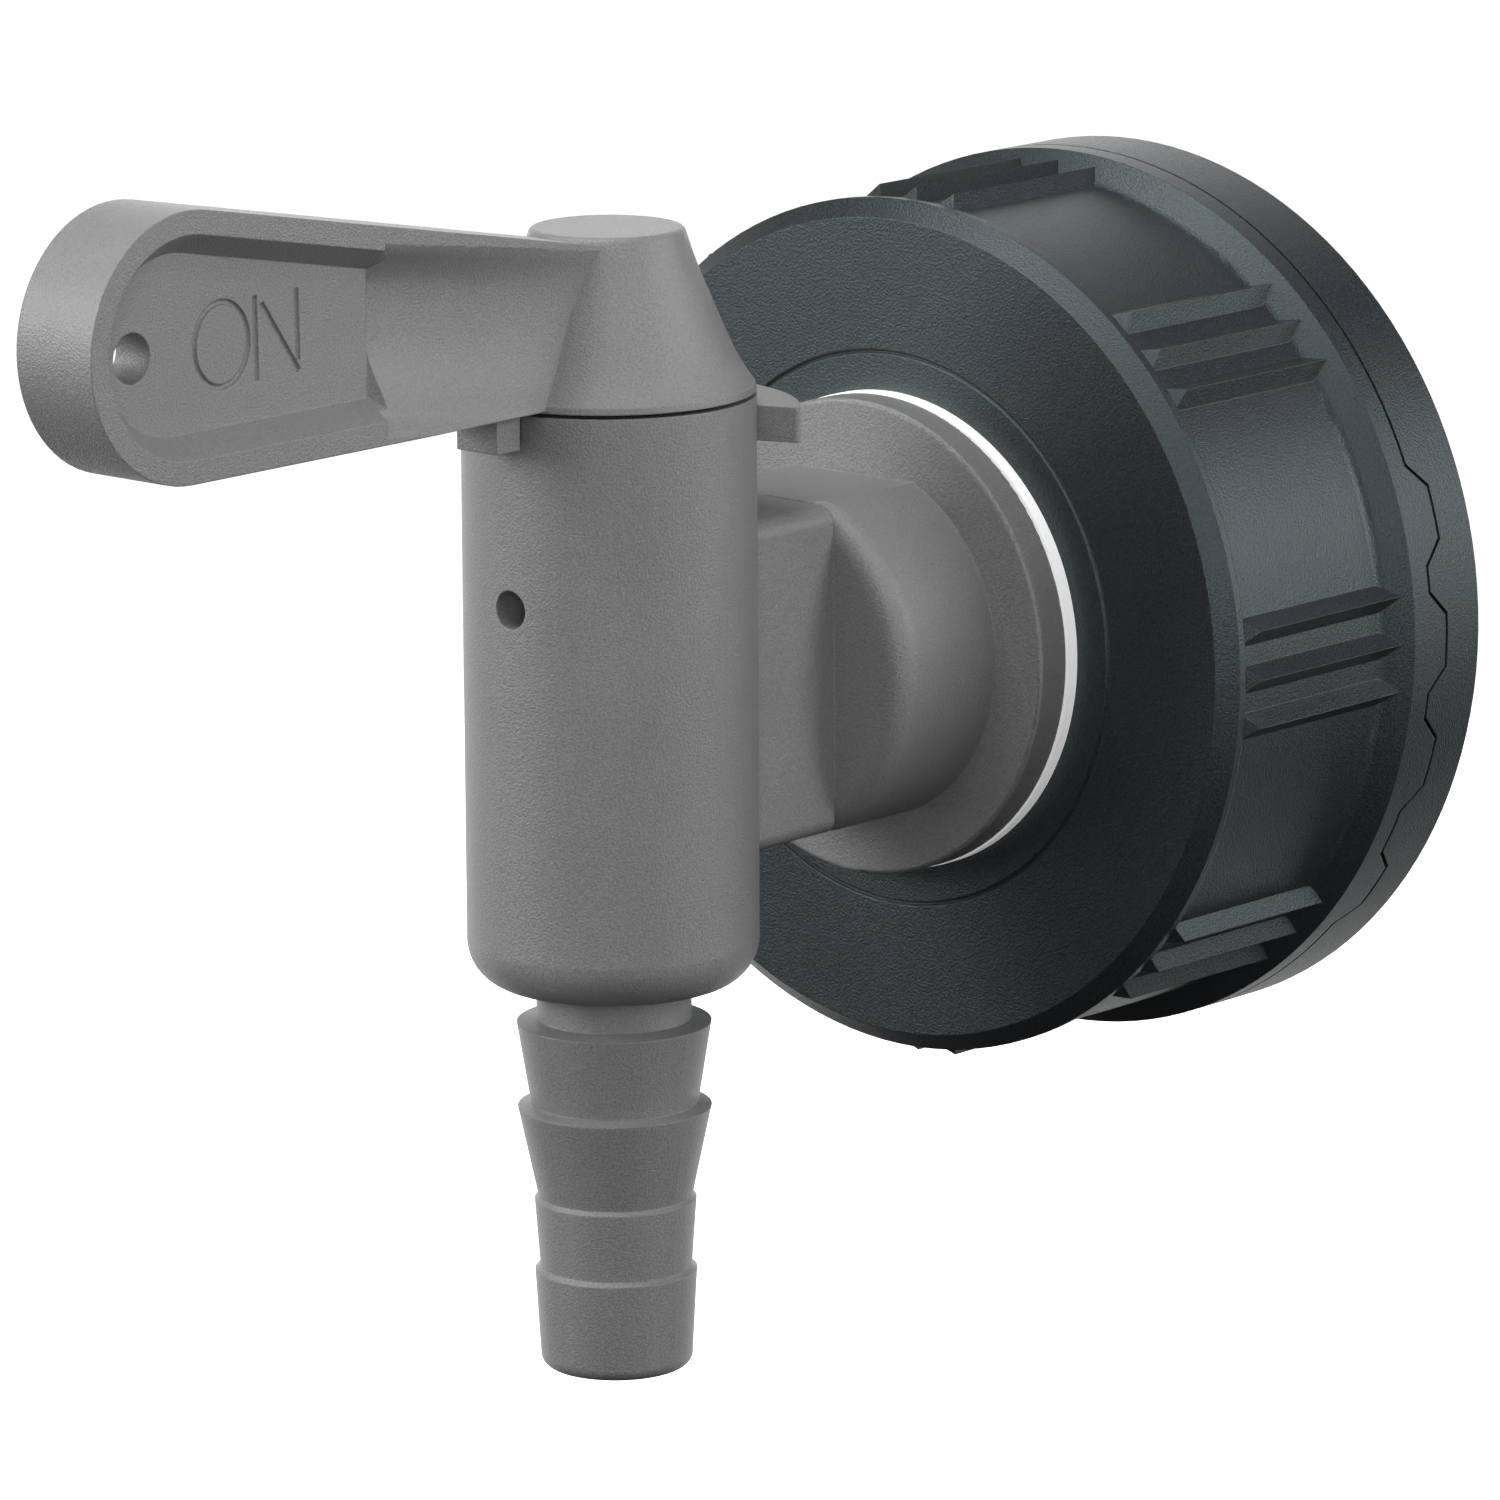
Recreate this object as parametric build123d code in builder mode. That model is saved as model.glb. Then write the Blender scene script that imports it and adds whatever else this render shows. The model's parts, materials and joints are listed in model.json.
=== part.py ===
import os
from math import cos, radians, sin, tan
from build123d import *

os.makedirs("parts", exist_ok=True)

# The cap axis is Y with the open mouth toward +Y. The valve axis is parallel to Z.
# The origin is the centre of the threaded skirt's end, where the tamper band begins.
# All sizes are in millimetres.

# Screw cap and tamper band
thread_root_r = 30.6
thread_depth = 10.6
skirt_depth = 22.91
skirt_wall = 2.5
cap_wall = 3.0
rim_height = 2.0
rim_step = 0.4
rim_step_height = 0.06
rim_chamfer_height = 1.3
rim_chamfer_width = 1.4
ramp_start = 19.1
ramp_end = 21.0
ramp_rise = 1.9
ramp_soft_r = 1.2
band_height = 6.15
cavity_step = 0.7
cavity_corner_r = 0.8
face_groove_r = 21.7
face_groove_half_width = 0.2
face_groove_depth = 0.22
boss_r = 17.0
boss_depth = 11.0

# Grip ribs
rib_groups = 8
rib_pitch_deg = 6.3
rib_height = 1.2
rib_half_width = 1.04
rib_root = 0.2
rib_end = 20.35
hip_reach = 1.5

# Tear seam between the skirt and the tamper band
seam_width = 0.28
tooth_rise = 1.95
tooth_foot_deg = 6.5
tooth_top_deg = 3.4
tooth_centres_deg = (16.0, -0.4, -16.75, -36.35)
bridge_angles_deg = (7.8, -8.6, -26.5, 50, 74, 98, 122, 146, 170, 194, 218, 242, 266, 290, 310)
bridge_width = 1.2
bridge_depth = 1.1
bridge_inset = 0.3
bridge_bite = 0.2
cut_margin = 1.0

# Inside of the tamper band
band_wall = 3.0
bead_height = 0.7
bead_start = 4.2
bead_crest = 4.9
bead_crest_end = 5.3

# Neck seal
seal_clearance = 0.9
seal_width = 6.0
seal_thickness = 2.0

# Flange washer
washer_r = 18.7
washer_thickness = 1.1
washer_clearance = 0.3

# Tap body, sizes along the cap axis
thread_clearance = 0.05
nipple_r = 13.15
nipple_past_boss = 1.0
flange_r = 18.62
flange_thickness = 3.1
flange_edge_r = 0.3
drum_r = 14.1
drum_edge_r = 1.8
drum_front = 15.05
drum_flat = 12.8
block_half_width = 7.2
block_half_height = 12.7
block_edge_r = 1.3
valve_distance = 32.3

# Tap body, sizes along the valve axis
barrel_r = 11.05
barrel_top = 23.0
barrel_bottom = -22.1
barrel_bottom_edge_r = 3.6
collar_r = 14.3
collar_bottom = 19.35
collar_top = 22.0
collar_end_offset = 4.2
collar_end_deg = 20.0
collar_corner_r = 0.3

# Stepped hose spout: rim height, rim radius and radius at the end of the taper
spout_neck_r = 5.88
spout_barbs = (
    (-25.06, 7.38, 6.36),
    (-31.63, 7.36, 5.88),
    (-38.87, 6.16, 5.78),
    (-44.4, 6.17, 5.73),
)
barb_slope = 0.3
spout_tip = -52.0
spout_tip_edge_r = 1.0
spout_bore_r = 4.5

# Valve
plug_r = 7.95
running_clearance = 0.05
plug_bottom = -18.7
bore_bottom = -19.0
plug_hollow_r = 5.2
plug_hollow_top = 4.0
port_r = 5.0
port_z = -2.5
inlet_r = 7.5
inlet_depth = 24.0
vent_r = 1.45
vent_z = 8.24
snap_z = 19.0
snap_height = 0.4
snap_half_length = 1.0
snap_clearance = 0.1
bore_lead_in = 0.4

# Valve rings
ring_section_r = 0.85
ring_clearance = 0.03
ring_groove_half_length = 1.0
upper_ring_z = 14.0
lower_ring_z = -12.5

# Lever
seat_gap = 0.3
head_foot_height = 0.5
head_foot_r = 10.98
head_profile = ((9.35, 26.5), (8.13, 29.3), (6.8, 32.5))
head_top_r = 5.78
head_top = 35.6
head_top_edge_r = 0.5
blade_half_thickness = 3.7
blade_tip_reach = 47.7
blade_tip_r = 9.8
blade_tip_z = 33.25
blade_slope_deg = 10.75
pocket_rim = 1.75
pocket_depth = 2.0
pocket_draft = 1.5
pocket_end = 27.7
eye_r = 1.83
eye_past_tip_centre = 3.84
eye_below_tip_centre = 0.45
tab_half_width = 2.0
tab_inner_r = 11.9
tab_outer_r = 14.4
tab_bottom = 20.6

# Waist of the lever, two sections of its hollow: depth below the side of the blade, and height
waist_outer_section = (
    (-0.06, 26.2),
    (0.3, 27.3),
    (1.75, 29.2),
    (2.5, 31.6),
    (1.8, 34.8),
    (0.5, 37.0),
    (-0.06, 37.8),
)
waist_inner_section = (
    (-0.06, 21.6),
    (0.28, 23.4),
    (0.45, 26.0),
    (0.6, 28.8),
    (0.5, 32.0),
    (0.42, 35.2),
    (-0.06, 38.0),
)
waist_inner_end = 4.0

# Positions that follow from the sizes above
waist_r = thread_root_r + skirt_wall
rim_r = waist_r + rim_step
face_edge_r = rim_r - rim_chamfer_width
band_r = waist_r + ramp_rise
band_inner_r = band_r - band_wall
bead_inner_r = band_inner_r - bead_height
bridge_inner_r = band_inner_r + bridge_inset
bridge_outer_r = bridge_inner_r + bridge_depth
cavity_r = thread_root_r - cavity_step
seal_outer_r = cavity_r - seal_clearance
seal_inner_r = seal_outer_r - seal_width
face_y = -skirt_depth
rim_end_y = face_y + rim_height
inside_y = face_y + cap_wall
boss_end_y = face_y + boss_depth
washer_front_y = face_y - washer_thickness
flange_front_y = washer_front_y - flange_thickness
drum_front_y = face_y - drum_front
nipple_end_y = boss_end_y + nipple_past_boss
valve_y = face_y - valve_distance
tapped_hole_r = nipple_r + thread_clearance
bore_r = plug_r + running_clearance
inlet_end_y = nipple_end_y - inlet_depth
ring_r = bore_r - ring_clearance - ring_section_r
ring_groove_r = ring_r - ring_section_r - ring_clearance
blade_tip_y = valve_y - blade_tip_reach
eye_y = blade_tip_y - eye_past_tip_centre
eye_z = blade_tip_z - eye_below_tip_centre
pocket_end_y = valve_y - pocket_end
head_bottom = barrel_top + seat_gap
blade_bottom = blade_tip_z - blade_tip_r

valve_axis = Axis((0, valve_y, 0), (0, 0, 1))
valve_plane = Plane(origin=(0, valve_y, 0), x_dir=(1, 0, 0), z_dir=(0, -1, 0))


# Screw cap: ribs first, their front ends cut back to a slope, then the turned shell
with BuildPart() as screw_cap:
    with BuildSketch(Plane.XZ.offset(-rim_end_y)):
        foot = rib_half_width * (rib_height + rib_root) / rib_height
        for group in range(rib_groups):
            for step in (-1, 0, 1):
                Polygon(
                    (waist_r - rib_root, -foot),
                    (waist_r + rib_height, 0),
                    (waist_r - rib_root, foot),
                    rotation=group * 360 / rib_groups + step * rib_pitch_deg,
                    align=None,
                )
    extrude(amount=-(rib_end - rim_height))
    with BuildSketch(Plane.XY):
        Polygon(
            (waist_r, rim_end_y),
            (waist_r + hip_reach, rim_end_y + hip_reach),
            (waist_r + hip_reach, rim_end_y - hip_reach),
            (waist_r, rim_end_y - hip_reach),
            align=None,
        )
    revolve(axis=Axis.Y, mode=Mode.SUBTRACT)
    with BuildSketch(Plane.XY) as shell_profile:
        with BuildLine():
            Polyline(
                (tapped_hole_r, face_y),
                (face_groove_r - face_groove_half_width, face_y),
                (face_groove_r, face_y + face_groove_depth),
                (face_groove_r + face_groove_half_width, face_y),
                (face_edge_r, face_y),
                (rim_r, face_y + rim_chamfer_height),
                (rim_r, rim_end_y),
                (waist_r, rim_end_y + rim_step_height),
                (waist_r, face_y + ramp_start),
                (band_r, face_y + ramp_end),
                (band_r, band_height),
                (band_inner_r, band_height),
                (bead_inner_r, bead_crest_end),
                (bead_inner_r, bead_crest),
                (band_inner_r, bead_start),
                (band_inner_r, 0),
                (thread_root_r, 0),
                (thread_root_r, -thread_depth),
                (cavity_r, -thread_depth),
                (cavity_r, inside_y),
                (boss_r, inside_y),
                (boss_r, boss_end_y),
                (tapped_hole_r, boss_end_y),
                close=True,
            )
        make_face()
        fillet(shell_profile.vertices().sort_by_distance((waist_r, face_y + ramp_start))[0], ramp_soft_r)
        fillet(shell_profile.vertices().sort_by_distance((cavity_r, inside_y))[0], cavity_corner_r)
        fillet(shell_profile.vertices().sort_by_distance((boss_r, inside_y))[0], cavity_corner_r)
    revolve(axis=Axis.Y)

    # Plain stretches of the seam, each turned from the end of one tooth to the next
    tooth_edges = sorted(
        [centre + tooth_foot_deg for centre in tooth_centres_deg]
        + [centre - tooth_foot_deg for centre in tooth_centres_deg],
        reverse=True,
    )
    plain_starts = tooth_edges[1::2]
    plain_ends = tooth_edges[2::2] + [tooth_edges[0] - 360]
    for start, end in zip(plain_starts, plain_ends):
        start_plane = Plane(
            origin=(0, 0, 0),
            x_dir=(cos(radians(start)), 0, sin(radians(start))),
            z_dir=(-sin(radians(start)), 0, cos(radians(start))),
        )
        with BuildSketch(start_plane):
            with Locations(((thread_root_r + band_r) / 2, seam_width / 2)):
                Rectangle(band_r - thread_root_r + 2 * cut_margin, seam_width)
        revolve(axis=Axis.Y, revolution_arc=start - end, mode=Mode.SUBTRACT)

    # Stepped teeth of the seam, each cut straight inward along its own radius
    half_seam = seam_width / 2
    tooth_foot = band_r * sin(radians(tooth_foot_deg))
    tooth_top = band_r * sin(radians(tooth_top_deg))
    corner = half_seam * tan(radians(22.5))
    overrun = tooth_foot + half_seam
    for centre in tooth_centres_deg:
        tooth_plane = Plane(
            origin=(
                (band_r + cut_margin) * cos(radians(centre)),
                half_seam,
                (band_r + cut_margin) * sin(radians(centre)),
            ),
            x_dir=(sin(radians(centre)), 0, -cos(radians(centre))),
            z_dir=(cos(radians(centre)), 0, sin(radians(centre))),
        )
        with BuildSketch(tooth_plane):
            Polygon(
                (-overrun, half_seam),
                (-tooth_foot - corner, half_seam),
                (-tooth_top - corner, tooth_rise + half_seam),
                (tooth_top + corner, tooth_rise + half_seam),
                (tooth_foot + corner, half_seam),
                (overrun, half_seam),
                (overrun, -half_seam),
                (tooth_foot - corner, -half_seam),
                (tooth_top - corner, tooth_rise - half_seam),
                (-tooth_top + corner, tooth_rise - half_seam),
                (-tooth_foot + corner, -half_seam),
                (-overrun, -half_seam),
                align=None,
            )
        extrude(amount=-(band_r - thread_root_r + 2 * cut_margin), mode=Mode.SUBTRACT)

    # Thin bridges that hold the tamper band
    with BuildSketch(Plane.XZ.offset(bridge_bite)):
        for angle in bridge_angles_deg:
            Polygon(
                (bridge_inner_r, -bridge_width / 2),
                (bridge_outer_r, -bridge_width / 2),
                (bridge_outer_r, bridge_width / 2),
                (bridge_inner_r, bridge_width / 2),
                rotation=angle,
                align=None,
            )
    extrude(amount=-(seam_width + 2 * bridge_bite))

screw_cap.part.label = "screw_cap"
export_step(screw_cap.part, "parts/screw_cap.step")


# Flat seal against the end of the container neck
with BuildPart() as neck_seal:
    with BuildSketch(Plane.XZ.offset(-inside_y)):
        Circle(seal_outer_r)
        Circle(seal_inner_r, mode=Mode.SUBTRACT)
    extrude(amount=-seal_thickness)

neck_seal.part.label = "neck_seal"
export_step(neck_seal.part, "parts/neck_seal.step")


# Washer between the flange and the cap face
with BuildPart() as flange_washer:
    with BuildSketch(Plane.XZ.offset(-washer_front_y)):
        Circle(washer_r)
        Circle(nipple_r + washer_clearance, mode=Mode.SUBTRACT)
    extrude(amount=-washer_thickness)

flange_washer.part.label = "flange_washer"
export_step(flange_washer.part, "parts/flange_washer.step")


# Tap body: drum, flange and nipple on the cap axis, barrel and spout on the valve axis
with BuildPart() as tap_body:
    with BuildSketch(Plane.XY) as drum_profile:
        with BuildLine():
            Polyline(
                (0, drum_front_y),
                (drum_r, drum_front_y),
                (drum_r, flange_front_y),
                (flange_r, flange_front_y),
                (flange_r, washer_front_y),
                (nipple_r, washer_front_y),
                (nipple_r, nipple_end_y),
                (0, nipple_end_y),
                close=True,
            )
        make_face()
        fillet(drum_profile.vertices().sort_by_distance((drum_r, drum_front_y))[0], drum_edge_r)
        fillet(drum_profile.vertices().sort_by_distance((flange_r, flange_front_y))[0], flange_edge_r)
        fillet(drum_profile.vertices().sort_by_distance((flange_r, washer_front_y))[0], flange_edge_r)
    revolve(axis=Axis.Y)
    with BuildSketch(Plane.XZ.offset(-drum_front_y)):
        for side in (-1, 1):
            with Locations((0, side * (drum_flat + drum_r) / 2)):
                Rectangle(2 * drum_r, drum_r - drum_flat)
    extrude(amount=-(flange_front_y - drum_front_y), mode=Mode.SUBTRACT)
    with BuildSketch(Plane.XZ.offset(-valve_y)):
        RectangleRounded(2 * block_half_width, 2 * block_half_height, block_edge_r)
    extrude(amount=-(drum_front_y - valve_y))

    barrel_points = [
        (0, barrel_top),
        (barrel_r, barrel_top),
        (barrel_r, barrel_bottom),
        (spout_neck_r, barrel_bottom),
    ]
    root_r = spout_neck_r
    for rim_z, barb_r, taper_r in spout_barbs:
        barrel_points += [(root_r, rim_z + barb_slope), (barb_r, rim_z)]
        root_r = taper_r
    barrel_points += [(root_r, spout_tip), (0, spout_tip)]
    with BuildSketch(valve_plane) as barrel_profile:
        with BuildLine():
            Polyline(*barrel_points, close=True)
        make_face()
        fillet(barrel_profile.vertices().sort_by_distance((barrel_r, barrel_bottom))[0], barrel_bottom_edge_r)
        fillet(barrel_profile.vertices().sort_by_distance((root_r, spout_tip))[0], spout_tip_edge_r)
    revolve(axis=valve_axis)

    # Stop collar round the back of the barrel, open toward the lever
    end_rise = tan(radians(collar_end_deg))
    end_drop = collar_end_offset / cos(radians(collar_end_deg))
    with BuildSketch(Plane(origin=(0, valve_y, collar_bottom))) as collar:
        Circle(collar_r)
        Circle(barrel_r - cut_margin, mode=Mode.SUBTRACT)
        Polygon(
            (0, end_drop),
            (2 * collar_r, end_drop + 2 * collar_r * end_rise),
            (2 * collar_r, -2 * collar_r),
            (-2 * collar_r, -2 * collar_r),
            (-2 * collar_r, end_drop + 2 * collar_r * end_rise),
            align=None,
            mode=Mode.SUBTRACT,
        )
        outer_corners = collar.vertices().sort_by_distance((0, 0))[-2:]
        fillet(outer_corners, collar_corner_r)
    extrude(amount=collar_top - collar_bottom)

    # Plug bore with its snap groove, and the spout bore
    snap_foot = snap_half_length + snap_clearance
    with BuildSketch(valve_plane):
        Polygon(
            (0, spout_tip - cut_margin),
            (spout_bore_r, spout_tip - cut_margin),
            (spout_bore_r, bore_bottom),
            (bore_r, bore_bottom),
            (bore_r, snap_z - snap_foot),
            (plug_r + snap_height + snap_clearance, snap_z),
            (bore_r, snap_z + snap_foot),
            (bore_r, barrel_top - bore_lead_in),
            (bore_r + bore_lead_in, barrel_top),
            (bore_r + bore_lead_in, barrel_top + cut_margin),
            (0, barrel_top + cut_margin),
            align=None,
        )
    revolve(axis=valve_axis, mode=Mode.SUBTRACT)

    # Inlet from the nipple, its narrower end into the plug bore, and the vent channel
    with BuildSketch(Plane(origin=(0, nipple_end_y, port_z), x_dir=(1, 0, 0), z_dir=(0, -1, 0))):
        Circle(inlet_r)
    extrude(amount=inlet_depth, mode=Mode.SUBTRACT)
    with BuildSketch(Plane(origin=(0, inlet_end_y, port_z), x_dir=(1, 0, 0), z_dir=(0, -1, 0))):
        Circle(port_r)
    extrude(amount=inlet_end_y - valve_y, mode=Mode.SUBTRACT)
    with BuildSketch(Plane(origin=(0, nipple_end_y, vent_z), x_dir=(1, 0, 0), z_dir=(0, -1, 0))):
        Circle(vent_r)
    extrude(amount=nipple_end_y - valve_y + barrel_r + cut_margin, mode=Mode.SUBTRACT)

tap_body.part.label = "tap_body"
export_step(tap_body.part, "parts/tap_body.step")


# Lines of the blade outline, moved inward by inset, from the round tip back to end_y
def draw_blade_outline(inset, end_y):
    tip_r = blade_tip_r - inset
    slope = radians(blade_slope_deg)
    top_y = blade_tip_y + tip_r * sin(slope)
    top_z = blade_tip_z + tip_r * cos(slope)
    end_z = top_z - (end_y - top_y) * tan(slope)
    low_z = blade_tip_z - tip_r
    ThreePointArc((blade_tip_y, low_z), (blade_tip_y - tip_r, blade_tip_z), (top_y, top_z))
    Polyline((top_y, top_z), (end_y, end_z), (end_y, low_z), (blade_tip_y, low_z))


# Lever and plug: the blade with its pockets and waist grooves, the stop tab, the head, then the plug
with BuildPart() as lever_plug:
    with BuildSketch(Plane.YZ):
        with BuildLine():
            draw_blade_outline(0, valve_y)
        make_face()
    extrude(amount=blade_half_thickness, both=True)

    for side in (-1, 1):
        with BuildSketch(Plane.YZ.offset(side * blade_half_thickness)):
            with BuildLine():
                draw_blade_outline(pocket_rim, pocket_end_y)
            make_face()
        with BuildSketch(Plane.YZ.offset(side * (blade_half_thickness - pocket_depth))):
            with BuildLine():
                draw_blade_outline(pocket_rim + pocket_draft, pocket_end_y)
            make_face()
        loft(mode=Mode.SUBTRACT)
        clear_x = side * (blade_half_thickness + cut_margin)
        for section, section_y in (
            (waist_outer_section, pocket_end_y),
            (waist_inner_section, valve_y - waist_inner_end),
        ):
            hollow = [(side * (blade_half_thickness - depth), height) for depth, height in section]
            with BuildSketch(Plane(origin=(0, section_y, 0), x_dir=(1, 0, 0), z_dir=(0, -1, 0))):
                with BuildLine():
                    Spline(*hollow)
                    Polyline(hollow[-1], (clear_x, hollow[-1][1]), (clear_x, hollow[0][1]), hollow[0])
                make_face()
        loft(ruled=True, mode=Mode.SUBTRACT)

    with BuildSketch(Plane.YZ.offset(-blade_half_thickness)):
        with Locations((eye_y, eye_z)):
            Circle(eye_r)
    extrude(amount=2 * blade_half_thickness, mode=Mode.SUBTRACT)

    with BuildSketch(Plane(origin=(0, valve_y, tab_bottom))):
        with Locations((0, -(tab_inner_r + tab_outer_r) / 2)):
            Rectangle(2 * tab_half_width, tab_outer_r - tab_inner_r)
    extrude(amount=blade_bottom + cut_margin - tab_bottom)

    plug_points = [(0, plug_bottom), (plug_r, plug_bottom)]
    for ring_z in (lower_ring_z, upper_ring_z):
        plug_points += [
            (plug_r, ring_z - ring_groove_half_length),
            (ring_groove_r, ring_z - ring_groove_half_length),
            (ring_groove_r, ring_z + ring_groove_half_length),
            (plug_r, ring_z + ring_groove_half_length),
        ]
    plug_points += [
        (plug_r, snap_z - snap_half_length),
        (plug_r + snap_height, snap_z),
        (plug_r, snap_z + snap_half_length),
        (plug_r, head_bottom),
        (barrel_r, head_bottom),
        (head_foot_r, head_bottom + head_foot_height),
    ]
    with BuildSketch(valve_plane) as head_profile_face:
        with BuildLine():
            Polyline(*plug_points)
            Spline(plug_points[-1], *head_profile, (head_top_r, head_top))
            Polyline((head_top_r, head_top), (0, head_top), (0, plug_bottom))
        make_face()
        fillet(head_profile_face.vertices().sort_by_distance((head_top_r, head_top))[0], head_top_edge_r)
    revolve(axis=valve_axis)

    with BuildSketch(Plane(origin=(0, valve_y, plug_bottom))):
        Circle(plug_hollow_r)
    extrude(amount=plug_hollow_top - plug_bottom, mode=Mode.SUBTRACT)
    with BuildSketch(Plane(origin=(0, valve_y, port_z), x_dir=(-1, 0, 0), z_dir=(0, 1, 0))):
        Circle(port_r)
    extrude(amount=bore_r, mode=Mode.SUBTRACT)
    with BuildSketch(Plane(origin=(0, valve_y, vent_z), x_dir=(-1, 0, 0), z_dir=(0, 1, 0))):
        Circle(vent_r)
    extrude(amount=bore_r, both=True, mode=Mode.SUBTRACT)

lever_plug.part.label = "lever_plug"
export_step(lever_plug.part, "parts/lever_plug.step")


# Rings in the plug grooves
with BuildPart() as upper_o_ring:
    with BuildSketch(valve_plane):
        with Locations((ring_r, upper_ring_z)):
            Circle(ring_section_r)
    revolve(axis=valve_axis)

upper_o_ring.part.label = "upper_o_ring"
export_step(upper_o_ring.part, "parts/upper_o_ring.step")

with BuildPart() as lower_o_ring:
    with BuildSketch(valve_plane):
        with Locations((ring_r, lower_ring_z)):
            Circle(ring_section_r)
    revolve(axis=valve_axis)

lower_o_ring.part.label = "lower_o_ring"
export_step(lower_o_ring.part, "parts/lower_o_ring.step")
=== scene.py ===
import json
import math

import bmesh
import bpy
from mathutils import Matrix, Vector


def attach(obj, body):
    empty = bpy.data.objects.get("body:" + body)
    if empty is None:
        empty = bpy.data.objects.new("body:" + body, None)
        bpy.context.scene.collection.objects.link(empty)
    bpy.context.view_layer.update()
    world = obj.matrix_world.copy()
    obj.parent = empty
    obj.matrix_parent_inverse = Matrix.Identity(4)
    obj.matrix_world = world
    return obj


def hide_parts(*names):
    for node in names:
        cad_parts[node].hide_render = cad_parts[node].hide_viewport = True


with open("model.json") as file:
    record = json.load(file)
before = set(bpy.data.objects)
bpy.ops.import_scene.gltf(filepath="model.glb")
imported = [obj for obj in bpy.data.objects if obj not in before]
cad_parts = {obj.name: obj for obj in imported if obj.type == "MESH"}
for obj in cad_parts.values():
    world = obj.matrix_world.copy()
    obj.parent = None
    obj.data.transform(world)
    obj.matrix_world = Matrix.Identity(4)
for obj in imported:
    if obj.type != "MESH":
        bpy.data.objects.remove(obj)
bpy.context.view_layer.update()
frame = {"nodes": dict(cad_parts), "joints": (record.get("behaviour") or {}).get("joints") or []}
mm = 0.001
weld = 0.0005 * mm  # corners closer than this are one corner
print("stage 1: frame loaded")


def hexToLinear(text):
    channels = [int(text[i:i + 2], 16) / 255 for i in (0, 2, 4)]
    linear = [c / 12.92 if c <= 0.04045 else ((c + 0.055) / 1.055) ** 2.4 for c in channels]
    return (*linear, 1.0)


# Adds a node; a settings key is an input's name or number, or else one of the node's own properties.
# Mix nodes have inputs of the same name, so theirs go by number: 0 factor, 2 and 3 values, 6 and 7 colours.
def addNode(tree, kind, settings=None, links=None):
    node = tree.nodes.new(kind)
    for key, value in (settings or {}).items():
        if isinstance(key, int) or key in node.inputs:
            node.inputs[key].default_value = value
        else:
            setattr(node, key, value)
    for key, source in (links or {}).items():
        tree.links.new(source, node.inputs[key])
    return node


# Injection-moulded polyolefin: a fine spark-eroded grain breaks the light into soft sparkle
def mouldedPlastic(name, look):
    material = bpy.data.materials.new(name)
    material.use_nodes = True
    tree = material.node_tree
    tree.nodes.clear()
    place = addNode(tree, "ShaderNodeTexCoord").outputs["Object"]
    grain = addNode(tree, "ShaderNodeTexNoise",
                    {"Scale": 1 / (look["grainMm"] * mm), "Detail": 2.0, "Roughness": 0.6},
                    {"Vector": place}).outputs["Fac"]
    cloud = addNode(tree, "ShaderNodeTexNoise", {"Scale": 1 / (look["cloudMm"] * mm), "Detail": 4.0},
                    {"Vector": place})
    blotch = addNode(tree, "ShaderNodeMix", {"data_type": "FLOAT", 0: look["speckShare"]},
                     {2: cloud.outputs["Fac"], 3: grain})
    tint = addNode(tree, "ShaderNodeMapRange", {"From Min": 0.3, "From Max": 0.7},
                   {"Value": blotch.outputs[0]})
    low, high = hexToLinear(look["colourLow"]), hexToLinear(look["colourHigh"])
    colour = addNode(tree, "ShaderNodeMix", {"data_type": "RGBA", 6: low, 7: high},
                     {0: tint.outputs["Result"]})
    speck = addNode(tree, "ShaderNodeMapRange",
                    {"From Min": 0.35, "From Max": 0.7, "To Min": look["roughLow"],
                     "To Max": look["roughHigh"]}, {"Value": grain})
    edge = addNode(tree, "ShaderNodeBevel", {"samples": 6, "Radius": look["edgeMm"] * mm})
    bump = addNode(tree, "ShaderNodeBump",
                   {"Strength": look["grainStrength"], "Distance": look["grainDepthMm"] * mm},
                   {"Height": grain, "Normal": edge.outputs["Normal"]})
    # The sheen colour tints every highlight; any tint other than white is a painted reflection colour
    shader = addNode(tree, "ShaderNodeBsdfPrincipled",
                     {"IOR": look["ior"], "Specular IOR Level": look["specular"],
                      "Specular Tint": hexToLinear(look["sheen"])},
                     {"Base Color": colour.outputs[2], "Roughness": speck.outputs["Result"],
                      "Normal": bump.outputs["Normal"]})
    addNode(tree, "ShaderNodeOutputMaterial", None, {"Surface": shader.outputs["BSDF"]})
    return material


# Smooth rubber or white sheet: no grain, only slight clouding and uneven gloss; its emission is a painted
# glow, none on the rubber
def smoothSheet(name, look):
    material = bpy.data.materials.new(name)
    material.use_nodes = True
    tree = material.node_tree
    tree.nodes.clear()
    place = addNode(tree, "ShaderNodeTexCoord").outputs["Object"]
    cloud = addNode(tree, "ShaderNodeTexNoise", {"Scale": 1 / (look["cloudMm"] * mm), "Detail": 3.0},
                    {"Vector": place})
    low, high = hexToLinear(look["colourLow"]), hexToLinear(look["colourHigh"])
    colour = addNode(tree, "ShaderNodeMix", {"data_type": "RGBA", 6: low, 7: high},
                     {0: cloud.outputs["Fac"]})
    gloss = addNode(tree, "ShaderNodeMapRange", {"To Min": look["roughLow"], "To Max": look["roughHigh"]},
                    {"Value": cloud.outputs["Fac"]})
    # Emission makes a painted glow: the part shines though it is no lamp
    shader = addNode(tree, "ShaderNodeBsdfPrincipled",
                     {"IOR": look["ior"], "Emission Color": (1, 1, 1, 1), "Emission Strength": look["glow"]},
                     {"Base Color": colour.outputs[2], "Roughness": gloss.outputs["Result"]})
    addNode(tree, "ShaderNodeOutputMaterial", None, {"Surface": shader.outputs["BSDF"]})
    return material


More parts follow.
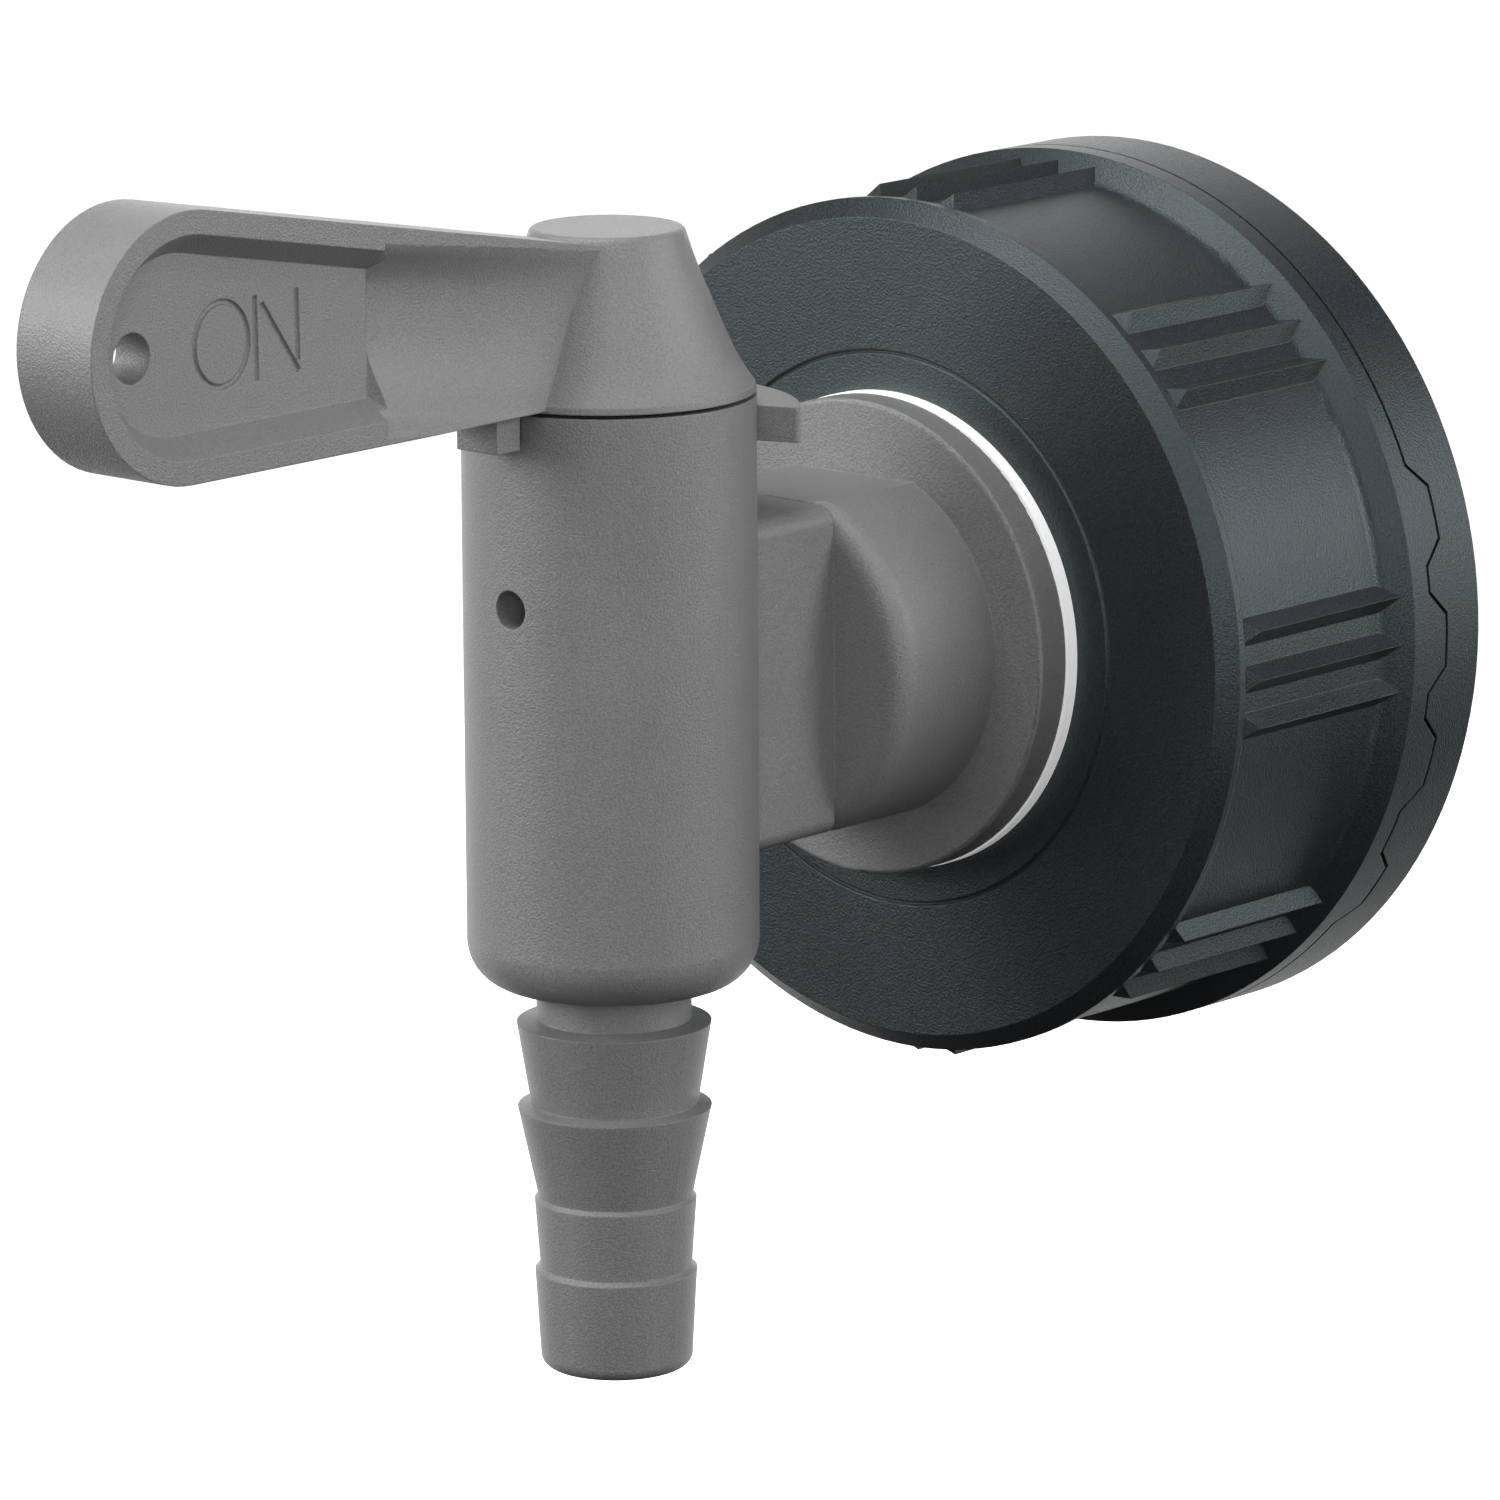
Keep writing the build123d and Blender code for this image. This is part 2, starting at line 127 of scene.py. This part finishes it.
finishes = {
    "tap": {
        "colourLow": "696969", "colourHigh": "818181", "speckShare": 0.85, "grainMm": 0.17, "cloudMm": 9,
        "grainStrength": 1.0, "grainDepthMm": 0.07, "roughLow": 0.32, "roughHigh": 0.5,
        "ior": 1.5, "specular": 0.5, "sheen": "ffffff", "edgeMm": 0.17,
    },
    "cap": {
        "colourLow": "1a1c1e", "colourHigh": "2f3235", "speckShare": 0.85, "grainMm": 0.18, "cloudMm": 12,
        "grainStrength": 0.9, "grainDepthMm": 0.06, "roughLow": 0.32, "roughHigh": 0.46,
        # sheen e6ffff tints the cap's highlights teal: a painted reflection colour for a teal surrounding,
        # while its dark base stays near neutral
        "ior": 1.5, "specular": 0.5, "sheen": "e6ffff", "edgeMm": 0.12,
    },
    "washer": {
        "colourLow": "f8f8f8", "colourHigh": "fefefe", "cloudMm": 5, "roughLow": 0.3, "roughHigh": 0.42,
        "ior": 1.5, "glow": 0.22,  # painted glow: the ring shines from within to look whiter than the lamps make it
    },
    "seal": {
        "colourLow": "151515", "colourHigh": "1d1d1d", "cloudMm": 4, "roughLow": 0.5, "roughHigh": 0.62,
        "ior": 1.52, "glow": 0.0,
    },
}
tapPlastic = mouldedPlastic("mid grey moulded polyethylene", finishes["tap"])  # soft sheen, fine sparkle
capPlastic = mouldedPlastic("dark slate moulded polyethylene", finishes["cap"])  # near black, its highlights tinted teal as a painted reflection
washerPlastic = smoothSheet("white moulded washer", finishes["washer"])  # clean white ring, brighter still from its painted glow
sealRubber = smoothSheet("black nitrile rubber", finishes["seal"])  # dull black

for node, material in (
    ("screw_cap", capPlastic), ("neck_seal", sealRubber), ("flange_washer", washerPlastic),
    ("tap_body", tapPlastic), ("lever_plug", tapPlastic),
    ("upper_o_ring", sealRubber), ("lower_o_ring", sealRubber),
):
    for materialSlot in frame["nodes"][node].material_slots:
        materialSlot.material = material
print("stage 2: materials assigned")


# Turns what the modifiers make into a plain mesh on a new object, with its place in the mesh
def bakePiece(source, name, material):
    graph = bpy.context.evaluated_depsgraph_get()
    mesh = bpy.data.meshes.new_from_object(source.evaluated_get(graph))
    bpy.data.objects.remove(source)
    mesh.name = name
    mesh.materials.clear()
    mesh.materials.append(material)
    piece = bpy.data.objects.new(name, mesh)
    bpy.context.scene.collection.objects.link(piece)
    return piece


# Merges corners that lie close together in a mesh; if asked, also removes what shrank to nothing
# and turns the faces outward
def mergeCorners(mesh, distance, faceOut=False, dissolve=False):
    work = bmesh.new()
    work.from_mesh(mesh)
    bmesh.ops.remove_doubles(work, verts=work.verts, dist=distance)
    if dissolve:
        bmesh.ops.dissolve_degenerate(work, edges=work.edges, dist=distance)
    if faceOut:
        bmesh.ops.recalc_face_normals(work, faces=work.faces)
    work.to_mesh(mesh)
    work.free()


# Smooth shading that breaks at edges sharper than the given angle
def smoothShade(mesh, sharpDeg):
    mesh.polygons.foreach_set("use_smooth", [True] * len(mesh.polygons))
    mesh.set_sharp_from_angle(angle=math.radians(sharpDeg))


# Words cut into the floor of each lever pocket as fine round-bottomed grooves.
# A stroke's points are mm across, then the share of the letter's height.
lettering = {
    "grooveRadius": 0.23,
    "grooveRoundness": 3,
    "pocketFloorX": 1.7,
    "letterHeight": 6.1,
    "letterBottomZ": 29.55,
    "onStartY": -100.5,
    "offStartY": -87.7,
    "ovalWidth": 5.45,
    "ovalPoints": 48,
    "letterGap": 0.7,
    "strokesN": (((0.0, 1.0), (0.12, 0.0)), ((0.68, 0.9), (4.4, 0.02)), ((4.25, 1.0), (4.33, 0.15))),
    "widthN": 4.4,
    "strokesF": (((0.0, 1.0), (0.0, 0.0)), ((0.6, 1.0), (3.5, 1.0)), ((0.6, 0.52), (3.0, 0.52))),
    "widthF": 3.5,
}


# Centre lines of one word: each is (points, closed), with the points across and up from the word's start
def wordLines(word):
    height = lettering["letterHeight"]
    start = 0.0
    lines = []
    for letter in word:
        if letter == "O":
            halfWidth = lettering["ovalWidth"] / 2
            count = lettering["ovalPoints"]
            turns = [2 * math.pi * i / count for i in range(count)]
            oval = [(start + halfWidth * (1 + math.cos(t)), height / 2 * (1 + math.sin(t))) for t in turns]
            lines.append((oval, True))
            start += lettering["ovalWidth"] + lettering["letterGap"]
        else:
            for stroke in lettering["strokes" + letter]:
                lines.append(([(start + across, up * height) for across, up in stroke], False))
            start += lettering["width" + letter] + lettering["letterGap"]
    return lines


# One closed tube along each line, at the pocket floor of that side
def wordCutter(word, side, startY):
    curve = bpy.data.curves.new("letterCutter", "CURVE")
    curve.dimensions = "3D"
    curve.bevel_depth = lettering["grooveRadius"] * mm
    curve.bevel_resolution = lettering["grooveRoundness"]
    curve.use_fill_caps = True
    for points, closed in wordLines(word):
        spline = curve.splines.new("POLY")
        spline.points.add(len(points) - 1)
        spline.use_cyclic_u = closed
        for point, (across, up) in zip(spline.points, points):
            point.co = (side * lettering["pocketFloorX"] * mm, (startY + side * across) * mm,
                        (lettering["letterBottomZ"] + up) * mm, 1)
    holder = bpy.data.objects.new("letterCutter", curve)
    bpy.context.scene.collection.objects.link(holder)
    graph = bpy.context.evaluated_depsgraph_get()
    mesh = bpy.data.meshes.new_from_object(holder.evaluated_get(graph))
    bpy.data.objects.remove(holder)
    return mesh


# Waist of the lever, hollow on both sides from the pocket to the head, in mm.
# A section's points are depth below the side, then height. The pocket's edges are height, then draft.
leverWaist = {
    "sideX": 3.7,
    "pocketEndY": -82.91,
    "pocketDepth": 2.0,
    "pocketEndDraft": 1.5,
    "pocketLow": (25.2, 0.75),
    "pocketTop": (37.647, 0.7635),
    "topEdge": (-82.91, 39.428),
    "topFall": 0.18986,
    "bottomZ": 23.45,
    "headEndY": -59.21,
    "outerSection": (
        (-0.25, 23.3), (-0.03, 23.95), (0.3, 24.6), (0.72, 25.3), (0.92, 26.1), (1.12, 27.0), (1.5, 28.1),
        (1.86, 29.3), (2.12, 31.0), (2.14, 33.6), (1.88, 35.4), (1.15, 36.6), (0.5, 37.3), (0.12, 37.85),
        (-0.04, 38.35), (-0.25, 39.1),
    ),
    "innerSection": (
        (-0.35, 20.6), (-0.06, 21.6), (0.28, 23.4), (0.45, 26.0), (0.6, 28.8),
        (0.52, 31.2), (0.34, 33.0), (0.13, 34.1), (-0.04, 34.9), (-0.25, 35.8),
    ),
    "sectionPoints": 48,
    "steps": 12,
    "headFootZ": 23.25,
    "clearOfBlade": 1.2,
    "headTopEdge": 0.35,
    "headSides": 96,
    "headBelow": 6,
    "headAbove": 4,
    "hollowOutside": 1,
    "endsOutside": 0.3,
    "skin": 0.02,
    "splineSteps": 12,
    "closeGap": 0.002,
    "sharpDeg": 16,
}


# Even points along a smooth curve through the given ones
def smoothLine(points, count):
    ends = [Vector(p) for p in (points[0], *points, points[-1])]
    steps = leverWaist["splineSteps"]
    fine = []
    for a, b, c, d in zip(ends, ends[1:], ends[2:], ends[3:]):
        for i in range(steps):
            t = i / steps
            bend = (2 * a - 5 * b + 4 * c - d) * t ** 2 + (3 * b - a - 3 * c + d) * t ** 3
            fine.append(0.5 * (2 * b + (c - a) * t + bend))
    fine.append(ends[-1])
    lengths = [0.0]
    for start, end in zip(fine, fine[1:]):
        lengths.append(lengths[-1] + (end - start).length)
    line = []
    place = 0
    for i in range(count):
        target = lengths[-1] * i / (count - 1)
        while place < len(fine) - 2 and lengths[place + 1] < target:
            place += 1
        share = (target - lengths[place]) / (lengths[place + 1] - lengths[place])
        line.append(fine[place].lerp(fine[place + 1], min(share, 1.0)))
    return line


# A closed solid skinned over rings of points in mm, as a helper object for the cuts
def ringSolid(name, groups, closedLoop=False):
    solid = bmesh.new()
    for rings in groups:
        rows = [[solid.verts.new(Vector(p) * mm) for p in ring] for ring in rings]
        pairs = list(zip(rows, rows[1:])) + ([(rows[-1], rows[0])] if closedLoop else [])
        for first, second in pairs:
            for i in range(len(first)):
                j = (i + 1) % len(first)
                solid.faces.new((first[i], first[j], second[j], second[i]))
        if not closedLoop:
            solid.faces.new(rows[0])
            solid.faces.new(rows[-1])
    bmesh.ops.recalc_face_normals(solid, faces=solid.faces)
    mesh = bpy.data.meshes.new(name)
    solid.to_mesh(mesh)
    solid.free()
    helper = bpy.data.objects.new(name, mesh)
    bpy.context.scene.collection.objects.link(helper)
    return helper


# Adds a boolean of the helper to the target, to be applied when the piece is baked
def addCut(target, helper, operation):
    cut = target.modifiers.new(helper.name, "BOOLEAN")
    cut.operation = operation
    cut.solver = "EXACT"
    cut.use_self = helper.name == "wordCutters"  # its strokes meet
    cut.object = helper


# Radius and height, in mm, of the head's rings on the side away from the blade, from the frame's own lever
def headOutline(mesh, axisY):
    w = leverWaist
    points = [v.co / mm for v in mesh.vertices]
    behind = [p for p in points if p.y > axisY + w["clearOfBlade"] and p.z > w["headFootZ"]]
    topZ = max(p.z for p in behind) - w["headTopEdge"]
    widest = {}
    for p in behind:
        if p.z < topZ:
            height = round(p.z, 2)
            widest[height] = max(widest.get(height, 0), math.hypot(p.x, p.y - axisY))
    return [(widest[height], height) for height in sorted(widest)]


# Solid blade between pocket and head, from which the hollows are cut
def waistBlock():
    w = leverWaist
    startY = w["pocketEndY"] - w["skin"]
    insideX = w["sideX"] - w["skin"] / 2
    bottom = w["bottomZ"] + w["skin"]
    startTop = w["topEdge"][1] - w["skin"]
    endTop = w["topEdge"][1] - w["topFall"] * (w["headEndY"] - w["topEdge"][0]) - w["skin"]
    outline = ((startY, bottom), (w["headEndY"], bottom), (w["headEndY"], endTop), (startY, startTop))
    return ringSolid("waistBlock", [[[(x, y, z) for y, z in outline] for x in (-insideX, insideX)]])


# Both hollows, each skinned from the section at the pocket to the one at the head
def waistHollows():
    w = leverWaist
    startY = w["pocketEndY"] - w["skin"]
    outer = smoothLine(w["outerSection"], w["sectionPoints"])
    inner = smoothLine(w["innerSection"], w["sectionPoints"])
    hollows = []
    for side in (1, -1):
        outsideX = side * (w["sideX"] + w["hollowOutside"])
        rings = []
        for step in range(w["steps"] + 1):
            share = step / w["steps"]
            y = startY - w["skin"] + (w["headEndY"] - startY) * share
            section = [a.lerp(b, share) for a, b in zip(outer, inner)]
            ring = [(side * (w["sideX"] - depth), y, height) for depth, height in section]
            rings.append(ring + [(outsideX, y, section[-1].y), (outsideX, y, section[0].y)])
        hollows.append(rings)
    return ringSolid("waistHollows", hollows)


# The slanted end of each pocket
def slantedEnds():
    w = leverWaist
    startY = w["pocketEndY"] - w["skin"] - w["skin"]
    ends = []
    for side in (1, -1):
        rings = []
        for depth in (-w["endsOutside"], w["pocketDepth"] - w["skin"] / 2):
            endY = w["pocketEndY"] + w["pocketEndDraft"] * (1 - depth / w["pocketDepth"])
            low = w["pocketLow"][0] + w["pocketLow"][1] * depth + w["skin"] / 2
            top = w["pocketTop"][0] - w["pocketTop"][1] * depth - w["skin"] / 2
            endTop = top - w["topFall"] * (endY - w["pocketEndY"])
            x = side * (w["sideX"] - depth)
            rings.append([(x, startY, low), (x, endY, low), (x, endY, endTop), (x, startY, top)])
        ends.append(rings)
    return ringSolid("pocketEnds", ends)


# The turned head, which the hollows leave whole
def keptHead(mesh, axisY):
    w = leverWaist
    outline = headOutline(mesh, axisY)
    print("head outline from the frame:", len(outline), "rings")
    (footR, footZ), (topR, topZ) = outline[0], outline[-1]
    below, above = footZ - w["headBelow"], topZ + w["headAbove"]
    outline = [(0, below), (footR, below), *outline, (topR, above), (0, above)]
    lathe = []
    for step in range(w["headSides"]):
        turn = 2 * math.pi * step / w["headSides"]
        across, along = math.cos(turn), math.sin(turn)
        lathe.append([((r + w["skin"]) * across, axisY + (r + w["skin"]) * along, z) for r, z in outline])
    return ringSolid("headKept", [lathe], closedLoop=True)


leverMesh = frame["nodes"]["lever_plug"].data.copy()
mergeCorners(leverMesh, weld)
leverMesh.attributes.remove(leverMesh.attributes["custom_normal"])
leverSource = bpy.data.objects.new("leverSource", leverMesh)
bpy.context.scene.collection.objects.link(leverSource)
cutters = bmesh.new()
for word, side, startY in (("ON", 1, lettering["onStartY"]), ("OFF", -1, lettering["offStartY"])):
    cutters.from_mesh(wordCutter(word, side, startY))
cutterMesh = bpy.data.meshes.new("wordCutters")
cutters.to_mesh(cutterMesh)
cutters.free()
mergeCorners(cutterMesh, weld, faceOut=True)
words = bpy.data.objects.new("wordCutters", cutterMesh)
bpy.context.scene.collection.objects.link(words)
valveAxisY = frame["joints"][0]["pos_m"][1] / mm
head = keptHead(leverMesh, valveAxisY)
hollow = waistHollows()
addCut(hollow, head, "DIFFERENCE")
block = waistBlock()
pocketEnds = slantedEnds()
addCut(leverSource, block, "UNION")
for helper in (hollow, pocketEnds, words):
    addCut(leverSource, helper, "DIFFERENCE")
lever = bakePiece(leverSource, "letteredLever", tapPlastic)
for helper in (block, hollow, pocketEnds, words, head):
    bpy.data.objects.remove(helper)
mergeCorners(lever.data, leverWaist["closeGap"] * mm, dissolve=True)
smoothShade(lever.data, leverWaist["sharpDeg"])
even = lever.modifiers.new("evenShade", "WEIGHTED_NORMAL")
even.keep_sharp = True
lever = bakePiece(lever, "letteredLever", tapPlastic)
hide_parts("lever_plug")
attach(lever, "lever")
print("stage 3: lever lettered,", len(lever.data.polygons), "faces")

# Coarse right-handed thread ridge inside the cap's skirt: a trapezoid on a helix, faded at both ends
neckThread = {
    "Wall Radius": 30.65 * mm,
    "Pitch": 4.0 * mm,
    "Turns": 1.7,
    "Height": 1.25 * mm,
    "Foot Width": 2.0 * mm,
    "Crest Width": 0.9 * mm,
    "Start Depth": 9.3 * mm,
    "Fade": 0.06,
}
threadSteps = 96
threadSharpDeg = 30
threadTree = bpy.data.node_groups.new("helicalRidge", "GeometryNodeTree")
for name, value in neckThread.items():
    threadTree.interface.new_socket(name, in_out="INPUT", socket_type="NodeSocketFloat").default_value = value
threadTree.interface.new_socket("Material", in_out="INPUT", socket_type="NodeSocketMaterial")
threadTree.interface.new_socket("Geometry", in_out="OUTPUT", socket_type="NodeSocketGeometry")
given = addNode(threadTree, "NodeGroupInput").outputs
rise = addNode(threadTree, "ShaderNodeMath", {"operation": "MULTIPLY"},
               {0: given["Pitch"], 1: given["Turns"]})
helix = addNode(threadTree, "GeometryNodeCurveSpiral", {"Resolution": threadSteps},
                {"Rotations": given["Turns"], "Start Radius": given["Wall Radius"],
                 "End Radius": given["Wall Radius"], "Height": rise.outputs[0]})
upright = addNode(threadTree, "GeometryNodeSetCurveNormal", {"mode": "Z_UP"},
                  {"Curve": helix.outputs["Curve"]})
along = addNode(threadTree, "GeometryNodeSplineParameter").outputs["Factor"]
fromEnd = addNode(threadTree, "ShaderNodeMath", {"operation": "SUBTRACT", 0: 1.0}, {1: along})
nearest = addNode(threadTree, "ShaderNodeMath", {"operation": "MINIMUM"}, {0: along, 1: fromEnd.outputs[0]})
fade = addNode(threadTree, "ShaderNodeMapRange",
               {"interpolation_type": "SMOOTHSTEP", "To Min": 0.05, "To Max": 1.0},
               {"Value": nearest.outputs[0], "From Max": given["Fade"]})
section = addNode(threadTree, "GeometryNodeCurvePrimitiveQuadrilateral", {"mode": "TRAPEZOID", "Offset": 0.0},
                  {"Height": given["Height"], "Bottom Width": given["Foot Width"],
                   "Top Width": given["Crest Width"]})
foot = addNode(threadTree, "ShaderNodeMath", {"operation": "MULTIPLY", 1: 0.5}, {0: given["Height"]})
shift = addNode(threadTree, "ShaderNodeCombineXYZ", None, {"X": foot.outputs[0]})
seated = addNode(threadTree, "GeometryNodeTransform", {"Rotation": (0, 0, -math.pi / 2)},
                 {"Geometry": section.outputs["Curve"], "Translation": shift.outputs["Vector"]})
swept = addNode(threadTree, "GeometryNodeCurveToMesh", {"Fill Caps": True},
                {"Curve": upright.outputs["Curve"], "Profile Curve": seated.outputs["Geometry"],
                 "Scale": fade.outputs["Result"]})
depth = addNode(threadTree, "ShaderNodeMath", {"operation": "MULTIPLY", 1: -1.0}, {0: given["Start Depth"]})
place = addNode(threadTree, "ShaderNodeCombineXYZ", None, {"Y": depth.outputs[0]})
placed = addNode(threadTree, "GeometryNodeTransform", {"Rotation": (-math.pi / 2, 0, 0)},
                 {"Geometry": swept.outputs["Mesh"], "Translation": place.outputs["Vector"]})
realized = addNode(threadTree, "GeometryNodeRealizeInstances", None, {"Geometry": placed.outputs["Geometry"]})
painted = addNode(threadTree, "GeometryNodeSetMaterial", None,
                  {"Geometry": realized.outputs["Geometry"], "Material": given["Material"]})
addNode(threadTree, "NodeGroupOutput", None, {"Geometry": painted.outputs["Geometry"]})
threadSource = bpy.data.objects.new("threadSource", bpy.data.meshes.new("threadSource"))
bpy.context.scene.collection.objects.link(threadSource)
sweep = threadSource.modifiers.new("ridge", "NODES")
sweep.node_group = threadTree
for item in threadTree.interface.items_tree:
    if item.in_out == "INPUT":
        sweep[item.identifier] = capPlastic if item.name == "Material" else neckThread[item.name]
thread = bakePiece(threadSource, "neckThread", capPlastic)
mergeCorners(thread.data, weld, faceOut=True)
smoothShade(thread.data, threadSharpDeg)
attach(thread, "tap")
threadPoints = [v.co / mm for v in thread.data.vertices]
print("stage 4: thread swept,", len(thread.data.polygons), "faces, radius",
      round(min(math.hypot(p.x, p.z) for p in threadPoints), 2), "to",
      round(max(math.hypot(p.x, p.z) for p in threadPoints), 2), "y",
      round(min(p.y for p in threadPoints), 2), "to", round(max(p.y for p in threadPoints), 2))

# Camera: the photograph's long lens, seen from the right of the cap axis and a little above
cameraSetup = {
    "placeMm": (462.07, -563.29, 146.4),
    "azimuthDeg": 41.418,
    "elevationDeg": 12.375,
    "rollDeg": -0.336,
    "lens": 224.6,
    "sensorWidth": 36,
    "nearestM": 0.01,
}
azimuth, elevation, roll = (math.radians(cameraSetup[k]) for k in ("azimuthDeg", "elevationDeg", "rollDeg"))
right = Vector((math.cos(azimuth), math.sin(azimuth), 0))
level = Vector((-math.sin(azimuth), math.cos(azimuth), 0))
up = math.sin(elevation) * level + Vector((0, 0, math.cos(elevation)))
forward = up.cross(right)
rolledRight = math.cos(roll) * right + math.sin(roll) * up
rolledUp = -math.sin(roll) * right + math.cos(roll) * up
cameraData = bpy.data.cameras.new("photoCamera")
cameraData.lens = cameraSetup["lens"]
cameraData.sensor_width = cameraSetup["sensorWidth"]
cameraData.clip_start = cameraSetup["nearestM"]
camera = bpy.data.objects.new("photoCamera", cameraData)
basis = Matrix((rolledRight, rolledUp, -forward)).transposed().to_4x4()
camera.matrix_world = Matrix.Translation(Vector(cameraSetup["placeMm"]) * mm) @ basis
bpy.context.scene.collection.objects.link(camera)
bpy.context.scene.camera = camera

# Pale floor well below the tap, lit from within as a light table is; it neither lights the tap nor shows in it
floorSetup = {"heightMm": -230, "sizeM": 12, "colour": "f2f2f2", "rough": 0.9, "glow": 1.0}
floorMesh = bpy.data.meshes.new("studioFloor")
half = floorSetup["sizeM"] / 2
floorZ = floorSetup["heightMm"] * mm
corners = ((-half, -half), (half, -half), (half, half), (-half, half))
floorMesh.from_pydata([(x, y, floorZ) for x, y in corners], [], [(0, 1, 2, 3)])
floor = bpy.data.objects.new("studioFloor", floorMesh)
bpy.context.scene.collection.objects.link(floor)
floorPaper = bpy.data.materials.new("matt white paper")
floorPaper.use_nodes = True
paper = floorPaper.node_tree.nodes["Principled BSDF"].inputs
paper["Base Color"].default_value = hexToLinear(floorSetup["colour"])
paper["Roughness"].default_value = floorSetup["rough"]
paper["Emission Color"].default_value = (1, 1, 1, 1)
paper["Emission Strength"].default_value = floorSetup["glow"]
floorMesh.materials.append(floorPaper)
floor.visible_diffuse = False
floor.visible_glossy = False

# Soft boxes round the tap, each as turn to the camera's right and rise above the horizon in degrees,
# then metres away, width in metres and watts. Directions and rough strengths follow a fit of test renders
# to the photograph; the twelve and their round powers are listed one by one.
softBoxes = {
    "leftSide": (-75, 20, 1.0, 0.5, 7.0),
    "leftTop": (-90, 70, 1.0, 0.5, 5.0),
    "rightSide": (75, 20, 1.0, 0.5, 4.0),
    "rightLow": (45, -15, 1.0, 0.5, 1.0),
    "front": (0, 10, 1.0, 0.5, 3.0),
    "backHigh": (150, 50, 1.0, 0.5, 0.5),
    "backdrop": (180, 12, 1.0, 0.9, 3.0),
    "backdropRight": (150, -15, 1.0, 0.9, 2.5),
    "backdropLeft": (-150, -15, 1.0, 0.9, 2.5),
    "topNear": (0, 60, 0.35, 0.3, 0.6),
    "rightNear": (90, 10, 0.35, 0.3, 0.4),
    "leftNear": (-90, 10, 0.35, 0.3, 0.3),
}
aim = Vector((0, -0.04, 0))
for name, (turn, lift, reach, width, power) in softBoxes.items():
    data = bpy.data.lights.new(name, "AREA")
    data.shape = "DISK"
    data.size = width
    data.energy = power
    lamp = bpy.data.objects.new(name, data)
    swing, lift = azimuth + math.radians(turn), math.radians(lift)
    outward = Vector((math.sin(swing) * math.cos(lift), -math.cos(swing) * math.cos(lift), math.sin(lift)))
    facing = outward.to_track_quat("Z", "Y").to_matrix().to_4x4()
    lamp.matrix_world = Matrix.Translation(aim + reach * outward) @ facing
    lamp.visible_camera = False
    bpy.context.scene.collection.objects.link(lamp)

# White studio wall that is seen but throws almost no light
studio = {"wallSeen": 1.0, "wallLight": 0.02}
world = bpy.data.worlds.new("whiteStudio")
world.use_nodes = True
seen = addNode(world.node_tree, "ShaderNodeLightPath").outputs["Is Camera Ray"]
wall = addNode(world.node_tree, "ShaderNodeMapRange",
               {"To Min": studio["wallLight"], "To Max": studio["wallSeen"]}, {"Value": seen})
world.node_tree.nodes["Background"].inputs["Color"].default_value = (1, 1, 1, 1)
world.node_tree.links.new(wall.outputs["Result"], world.node_tree.nodes["Background"].inputs["Strength"])
bpy.context.scene.world = world
bpy.context.scene.view_settings.view_transform = "Standard"
print("stage 5: camera, floor and lights set")
